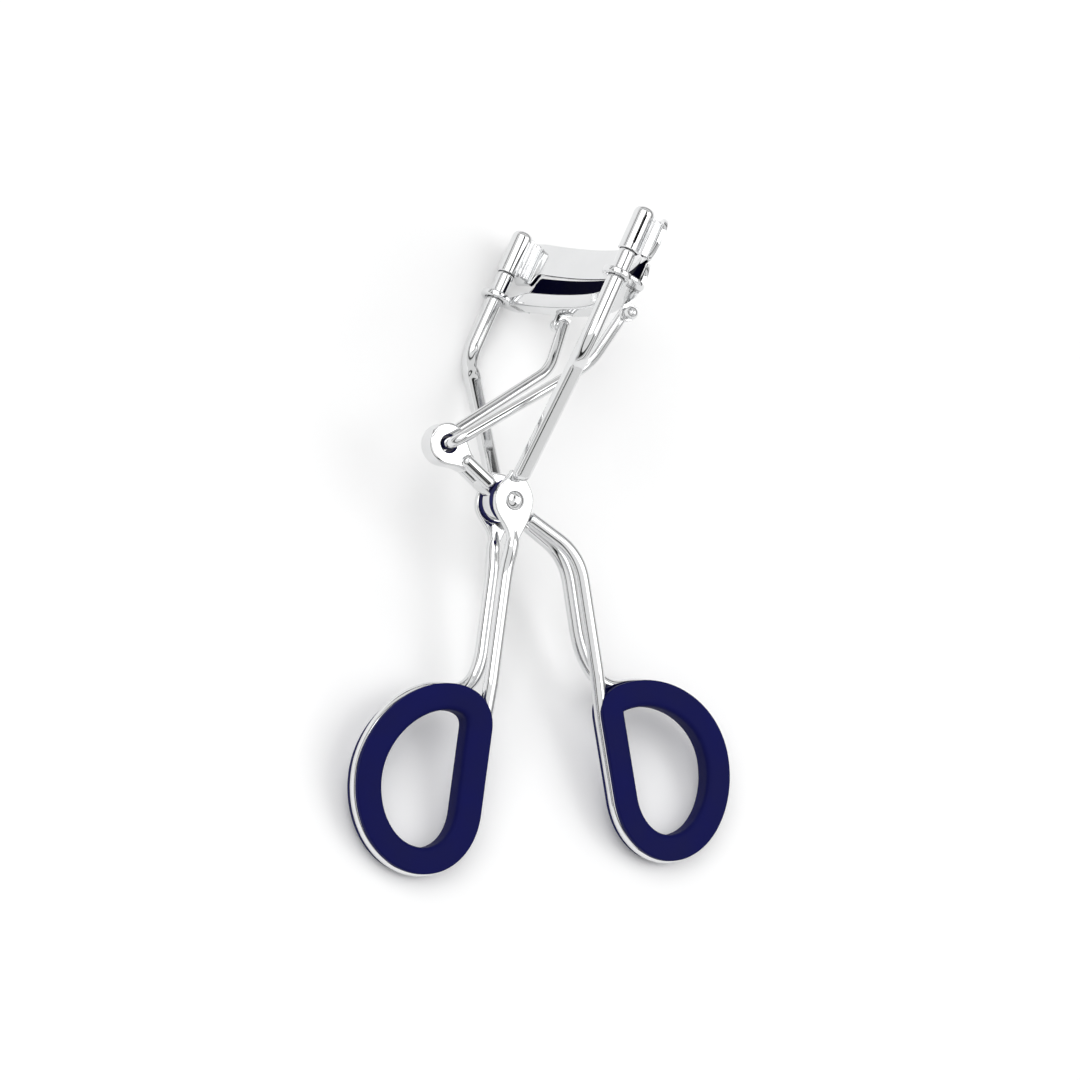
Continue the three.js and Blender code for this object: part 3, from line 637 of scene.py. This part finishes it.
def channel_outline(x):
    """The sliding jaw's section: a low lip in front, a floor and a tall wall behind."""
    inner, outer = bow(x, CHANNEL_IN), bow(x, CHANNEL_OUT)
    lip = LIP_TOP - LIP_FALL * smoothstep(abs(x), LIP_FALL_X, LIP_END_X)
    wall = WALL_TOP - corner_drop(x, LIP_END_X, WALL_CORNER)
    below, above = CHANNEL_FLOOR, CHANNEL_FLOOR + SHEET
    return fillet([
        (outer, below, 0.55), (outer, wall, 0.25), (outer - SHEET, wall, 0.25),
        (outer - SHEET, above, 0.15), (inner + SHEET, above, 0.15), (inner + SHEET, lip, 0.25),
        (inner, lip, 0.25), (inner, below, 0.55)])


def channel_end(side):
    """Beyond the channel: the floor's rounded tab, the guide eye on the post and the yoke's lug."""
    stations = [FLOOR_START_X + (FLOOR_END_X - FLOOR_START_X) * k / 14 for k in range(15)]
    front = [(x, bow(x, CHANNEL_IN) + 0.05) for x in stations]
    back = [(x, bow(x, CHANNEL_OUT) - corner_drop(x, FLOOR_END_X, 1.9)) for x in stations]
    tab = slab([(side * x, y) for x, y in front + back[::-1]],
               CHANNEL_FLOOR, CHANNEL_FLOOR + SHEET, 0.18, in_xy)
    eye = fillet([(EYE_BORE_R, EYE_BOTTOM, 0.15), (EYE_R, EYE_BOTTOM, 0.3),
                  (EYE_R, EYE_TOP, 0.3), (EYE_BORE_R, EYE_TOP, 0.15)])
    guide = loft(lathe(eye, (side * POST_X, POST_Y, 0), "Z", 56), closed=True)
    y, z = YOKE_PIN
    half, root = LUG_HALF_WIDTH, CHANNEL_FLOOR + 0.3
    outline = [(half * math.sin(t) + y, z - half * math.cos(t))
               for t in (math.pi * (k / 20 - 0.5) for k in range(21))]
    outline += [(y + half, root), (y - half, root)]
    lug_x = side * (YOKE_TOP_X + PIN_LENGTH / 2)
    return tab, guide, slab(outline, lug_x - SHEET / 2, lug_x + SHEET / 2, 0.12, in_yz)


piece("sliding_jaw",
      *merged(across(columns(LIP_END_X, (16.6, 16.8)), channel_outline),
              *channel_end(1), *channel_end(-1)),
      "lower_jaw", "chrome_plate", ["lower_jaw"], sharp=40)


def pad_outline(x):
    """The rubber's section: it fills the channel and rises over the lip to a rounded crown."""
    drop = corner_drop(x, PAD_END_X, 0.7)
    front = bow(x, CHANNEL_IN) + SHEET + PAD_GAP + drop
    back = bow(x, CHANNEL_OUT) - SHEET - PAD_GAP - drop
    base, top = CHANNEL_FLOOR + SHEET + PAD_GAP / 2, PAD_TOP - drop
    return fillet([(front, base, 0.2), (back, base, 0.2), (back, top, PAD_ROUND),
                   (front + PAD_SLOPE, top, PAD_ROUND), (front + 0.2, LIP_TOP + 0.3, 0.6)], 7)


piece("rubber_pad", *across(columns(PAD_END_X, (14.6, 14.8, 14.95, 15.05)), pad_outline),
      "lower_jaw", "dark_rubber", ["lash_pad"], sharp=60)

# ---- Lever -----------------------------------------------------------------------------------

HOOK_ANGLE = math.atan2(HOOK[1], HOOK[0])
HOOK_REACH = math.hypot(*HOOK)
TAIL_ANGLE = math.atan2(LEVER_BEND[1], LEVER_BEND[0])


def on_hook_arm(distance, out=0.0):
    """A place in the Y-Z plane, from its distance along the short arm and out of its line."""
    return (distance * math.cos(HOOK_ANGLE) - out * math.sin(HOOK_ANGLE),
            distance * math.sin(HOOK_ANGLE) + out * math.cos(HOOK_ANGLE))


def on_tail(distance):
    """A place in the Y-Z plane, from its distance towards the lever's bend."""
    return (distance * math.cos(TAIL_ANGLE), distance * math.sin(TAIL_ANGLE))


near_strand = rounded([
    at(ARM_X, on_tail(TAIL_AIM)),
    at(STRAND_X, LEVER_BEND),
    at(STRAND_X, on_handle(LEVER_HANDLE, 0, STRAND_END)),
], BEND_REACH["lever"], 20)
near_strand[0] = at(ARM_X, on_tail(TAIL_START))
eye = [(LEVER_EYE_R * math.cos(t), LEVER_EYE_R * math.sin(t))
       for t in (2 * math.pi * k / 64 for k in range(64))]
web = fillet([(*on_hook_arm(along, out), 1.0) for along, out in (
    (-LEVER_EYE_LENGTH, -WEB_HALF), (LEVER_EYE_LENGTH, -WEB_HALF),
    (LEVER_EYE_LENGTH, WEB_HALF), (-LEVER_EYE_LENGTH, WEB_HALF))], 8)
arms = []
for side in (1, -1):
    start, end = WASHER_R[side] + ARM_GAP, HOOK_REACH - ARM_OVERLAP
    arms.append(tube(straight(at(side * ARM_X, on_hook_arm(start)),
                              at(side * ARM_X, on_hook_arm(end)), 24), WIRE_R, crown=0.6))
piece("lever_ring_wire",
      *merged(tube(whole_wire(near_strand, LEVER_HANDLE), WIRE_R),
              slab(eye, -LEVER_HALF, LEVER_HALF, 0.2, in_yz),
              slab(web, -LEVER_HALF + 0.1, LEVER_HALF - 0.1, 0.4, in_yz), *arms),
      "lever", "chrome_plate", ["lever_wire"], sharp=45)
piece("lever_ring_grip", *grip(LEVER_HANDLE), "lever", "navy_silicone", ["lever_grip"])


def cap_ring(s):
    """The end cap's section at s, from the hook hole towards the pivot: a rounded rectangle."""
    round_half = math.sqrt(max(CAP_R ** 2 - s * s, 0.0))
    taper = CAP_R - CAP_NECK * smoothstep(s, CAP_TAPER_START, CAP_TAPER_END)
    if s < CAP_ROUND_TO:
        wide = round_half
    elif s <= CAP_TAPER_FROM:
        wide = max(min(round_half, taper), 0.0)
    else:
        wide = taper
    half = CAP_HALF
    if s < -CAP_R + CAP_NOSE:
        half -= CAP_NOSE * (1 - (s + CAP_R) / CAP_NOSE)
    if s > CAP_HEEL:
        half, wide = half - 0.35 * (s - CAP_HEEL), wide - 0.5 * (s - CAP_HEEL)
    r = min(CAP_EDGE, 0.8 * wide)
    ring = []
    for su, sv, start in ((1, 1, 0), (-1, 1, 90), (-1, -1, 180), (1, -1, 270)):
        for j in range(7):
            t = math.radians(start + 15 * j)
            u, v = su * (half - r) + r * math.cos(t), sv * (wide - r) + r * math.sin(t)
            ring.append(at(u, on_hook_arm(HOOK_REACH - s, v)))
    return ring


# End cap: a paddle whose neck goes between both strands, drilled for the yoke
tip = CAP_R - 0.02
stations = [-tip * math.cos(math.pi / 2 * k / 22) for k in range(23)]
stations += [0.2 * k for k in range(1, 23)]
cap = piece("end_cap", *loft([cap_ring(s) for s in stations]), "lever", "chrome_plate",
            ["lever_end_cap"], sharp=45)
drill_mesh = bpy.data.meshes.new("drill")
verts, faces = loft(lathe([(CAP_HOLE_R, -4.0), (CAP_HOLE_R, 4.0)], at(0, HOOK), "X", 48))
drill_mesh.from_pydata([PLACE @ Vector(v) for v in verts], [], faces)
drill = bpy.data.objects.new("drill", drill_mesh)
bpy.context.scene.collection.objects.link(drill)
cut = cap.modifiers.new("hole", "BOOLEAN")
cut.object = drill
cut.solver = "EXACT"
bpy.context.view_layer.update()
holed = bpy.data.meshes.new_from_object(cap.evaluated_get(bpy.context.evaluated_depsgraph_get()))
cap.modifiers.clear()
cap.data = holed
bpy.data.objects.remove(drill)
holed.set_sharp_from_angle(angle=math.radians(40))

liner = fillet([(LINER_IN_R, -LINER_HALF, 0.1), (LINER_OUT_R, -LINER_HALF, 0.05),
                (LINER_OUT_R, LINER_HALF, 0.05), (LINER_IN_R, LINER_HALF, 0.1)])
piece("hook_liner", *loft(lathe(liner, at(0, HOOK), "X", 48), closed=True), "lever",
      "navy_nylon", ["hook_bushing"])

# ---- Yoke ------------------------------------------------------------------------------------

half_hoop = [at(YOKE_TOP_X, YOKE_PIN), at(YOKE_BEND_X, YOKE_BEND), at(YOKE_HOOK_X, YOKE_HOOK)]
yoke_parts = [tube(rounded(half_hoop + mirrored(half_hoop), BEND_REACH["yoke"], 14), YOKE_R, 26)]
for side in (1, -1):
    root, tip = side * (YOKE_TOP_X - 0.3), side * (YOKE_TOP_X + PIN_LENGTH)
    yoke_parts.append(tube(straight(at(root, YOKE_PIN), at(tip, YOKE_PIN), 4), PIN_R, 20))
    for x, radius in ((side * YOKE_TOP_X, YOKE_R * 1.01), (tip, PIN_BEAD_R)):
        ball = [(max(radius * math.sin(t), 0.01), -radius * math.cos(t))
                for t in (math.pi * k / 16 for k in range(17))]
        yoke_parts.append(loft(lathe(ball, at(x, YOKE_PIN), "X", 28)))
piece("yoke_hoop", *merged(*yoke_parts), "yoke", "chrome_plate", ["yoke_wire"], sharp=50)

# ---- Stage, light and camera -----------------------------------------------------------------

floor_mesh = bpy.data.meshes.new("floor")
floor_mesh.from_pydata([(-3, -3, 0), (3, -3, 0), (3, 3, 0), (-3, 3, 0)], [], [(0, 1, 2, 3)])
floor_mat = bpy.data.materials.new("floor_paper")
floor_mat.use_nodes = True
floor_shader = floor_mat.node_tree.nodes["Principled BSDF"]
floor_shader.inputs["Base Color"].default_value = (0.96, 0.96, 0.96, 1)
floor_shader.inputs["Roughness"].default_value = 0.9
floor_mesh.materials.append(floor_mat)
floor = bpy.data.objects.new("floor", floor_mesh)
bpy.context.scene.collection.objects.link(floor)

# A white studio with thin dark rings round one direction, which draw dark lines along the
# chrome. The camera sees plain white instead. Each stop is (cosine from -1 to 1, as 0 to 1; level)
RINGS_ROUND = (-0.479, -0.237, 0.845)
RING_LEVELS = ((0.0, 0.5), (0.36, 0.6), (0.38, 0.02), (0.44, 0.02), (0.46, 0.9), (0.655, 0.9),
               (0.668, 0.02), (0.70, 0.02), (0.715, 1.0), (0.78, 1.0), (0.80, 0.6), (0.84, 0.6),
               (0.855, 0.02), (0.895, 0.02), (0.91, 1.0), (1.0, 1.0))
world = bpy.data.worlds.new("studio")
world.use_nodes = True
bpy.context.scene.world = world
nodes, links = world.node_tree.nodes, world.node_tree.links
direction = nodes.new("ShaderNodeTexCoord")
toward = nodes.new("ShaderNodeVectorMath")
toward.operation = "DOT_PRODUCT"
toward.inputs[1].default_value = RINGS_ROUND
lift = nodes.new("ShaderNodeMapRange")
lift.inputs["From Min"].default_value = -1.0
ramp = nodes.new("ShaderNodeValToRGB")
ramp.color_ramp.elements[0].position, ramp.color_ramp.elements[1].position = 0.0, 1.0
for position, level in RING_LEVELS[1:-1]:
    ramp.color_ramp.elements.new(position)
for element, (position, level) in zip(ramp.color_ramp.elements, RING_LEVELS):
    element.position = position
    element.color = (level, level, level, 1)
studio = nodes["Background"]
studio.inputs["Strength"].default_value = 0.92
plain = nodes.new("ShaderNodeBackground")
plain.inputs["Color"].default_value = (1, 1, 1, 1)
seen = nodes.new("ShaderNodeLightPath")
either = nodes.new("ShaderNodeMixShader")
links.new(direction.outputs["Generated"], toward.inputs[0])
links.new(toward.outputs["Value"], lift.inputs["Value"])
links.new(lift.outputs["Result"], ramp.inputs["Fac"])
links.new(ramp.outputs["Color"], studio.inputs["Color"])
links.new(seen.outputs["Is Camera Ray"], either.inputs["Fac"])
links.new(studio.outputs["Background"], either.inputs[1])
links.new(plain.outputs["Background"], either.inputs[2])
links.new(either.outputs["Shader"], nodes["World Output"].inputs["Surface"])


def softbox(name, place, size, power):
    """A rectangular area lamp aimed at the origin, in metres and watts."""
    light = bpy.data.lights.new(name, "AREA")
    light.shape = "RECTANGLE"
    light.size, light.size_y = size
    light.energy = power
    obj = bpy.data.objects.new(name, light)
    obj.location = place
    obj.rotation_euler = (-Vector(place)).to_track_quat("-Z", "Y").to_euler()
    bpy.context.scene.collection.objects.link(obj)


softbox("key", (-0.5, 0.35, 1.0), (1.0, 0.9), 5.0)
softbox("face", (0.64, -0.24, 1.17), (0.95, 0.95), 5.0)

# The camera's right, up and backward directions in tool axes. Its place is counted in
# millimetres from the middle of the cage
RIGHT, UP, BACK = (Vector(v) for v in ((0.4729, 0.7906, 0.3890), (0.0543, -0.4668, 0.8827),
                                       (0.8794, -0.3963, -0.2637)))
CAGE_MIDDLE = Vector((0, -5.66, 21.91))
SEAT = CAGE_MIDDLE + 0.886 * RIGHT - 27.17 * UP + 900.0 * BACK
FOCAL_PIXELS, IMAGE_PIXELS, SENSOR = 6579, 1080, 36.0
camera = bpy.data.cameras.new("camera")
camera.sensor_width = SENSOR
camera.lens = FOCAL_PIXELS / IMAGE_PIXELS * SENSOR
camera.clip_start = 0.05
shot = bpy.data.objects.new("camera", camera)
bpy.context.scene.collection.objects.link(shot)
axes = [(PLACE.to_3x3() @ v).normalized() for v in (RIGHT, UP, BACK)]
turned = Matrix(axes).transposed()
shot.matrix_world = Matrix.Translation(PLACE @ SEAT) @ turned.to_4x4()
bpy.context.scene.camera = shot
bpy.context.scene.view_settings.view_transform = "Standard"
